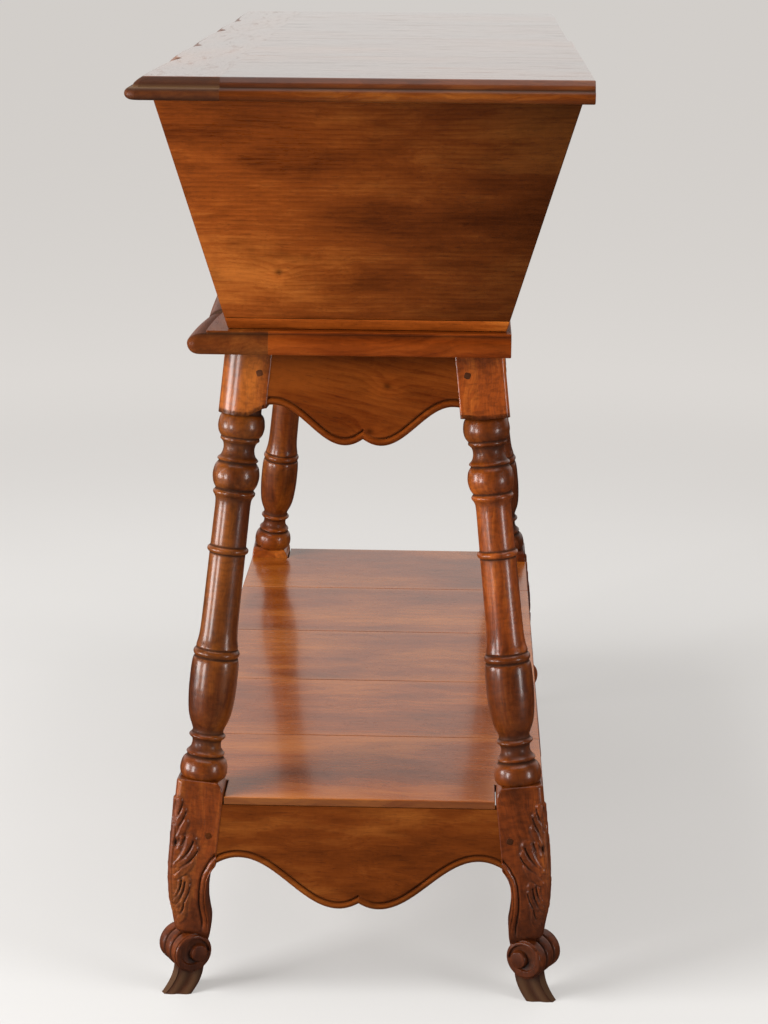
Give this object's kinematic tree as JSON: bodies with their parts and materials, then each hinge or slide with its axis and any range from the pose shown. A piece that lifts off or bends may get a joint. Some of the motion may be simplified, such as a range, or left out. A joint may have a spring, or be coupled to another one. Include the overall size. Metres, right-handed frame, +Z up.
{
  "type": "dough bin table",
  "caption": "Tapered wooden dough trough with a hinged moulded lid, on a splayed stand with turned legs, scalloped aprons, a low shelf and scroll feet.",
  "frame": {"origin": "on the floor, under the middle of the lid", "axes": "+X along the table to its right end seen from the front, -Y out of the scalloped front, +Z up"},
  "size_m": [1.22, 0.454, 1],
  "materials": {
    "walnut": "waxed satin walnut",
    "walnut_dark": "waxed dark walnut",
    "walnut_inside": "bare scrubbed wood",
    "iron": "dull aged iron"
  },
  "bodies": {
    "stand": {"leg_front_right": "walnut", "leg_front_left": "walnut", "leg_back_right": "walnut", "leg_back_left": "walnut", "upper_apron_front": "walnut", "upper_apron_back": "walnut", "upper_apron_right": "walnut", "upper_apron_left": "walnut", "lower_apron_front": "walnut", "lower_apron_back": "walnut", "lower_apron_right": "walnut", "lower_apron_left": "walnut", "upper_side_peg_front_right": "walnut_dark", "upper_side_peg_front_left": "walnut_dark", "upper_side_peg_back_right": "walnut_dark", "upper_side_peg_back_left": "walnut_dark", "upper_end_peg_front_right": "walnut_dark", "upper_end_peg_front_left": "walnut_dark", "upper_end_peg_back_right": "walnut_dark", "upper_end_peg_back_left": "walnut_dark", "lower_side_peg_front_right": "walnut_dark", "lower_side_peg_front_left": "walnut_dark", "lower_side_peg_back_right": "walnut_dark", "lower_side_peg_back_left": "walnut_dark", "lower_end_peg_front_right": "walnut_dark", "lower_end_peg_front_left": "walnut_dark", "lower_end_peg_back_right": "walnut_dark", "lower_end_peg_back_left": "walnut_dark", "shelf_board_1": "walnut", "shelf_board_2": "walnut", "shelf_board_3": "walnut", "shelf_board_4": "walnut", "shelf_board_5": "walnut", "stand_top_front_rail": "walnut_dark", "stand_top_board_1": "walnut", "stand_top_board_2": "walnut", "stand_top_board_3": "walnut", "trough_front": "walnut", "trough_back": "walnut", "trough_end_right": "walnut", "trough_end_left": "walnut", "trough_end_strip_right": "walnut", "trough_end_strip_left": "walnut", "trough_bottom": "walnut_inside", "hinge_right_trough_leaf": "iron", "hinge_right_pin": "iron", "hinge_left_trough_leaf": "iron", "hinge_left_pin": "iron"},
    "lid": {"lid_front_rail": "walnut_dark", "lid_board_1": "walnut", "lid_board_2": "walnut", "lid_board_3": "walnut", "lid_board_4": "walnut", "hinge_right_lid_leaf": "iron", "hinge_left_lid_leaf": "iron"}
  },
  "joints": [
    {"name": "lid_hinge", "type": "hinge", "parent": "stand", "child": "lid", "pos_m": [0, 0.22059, 0.976], "axis": [-1, 0, 0], "range_deg": [0, 100]}
  ]
}
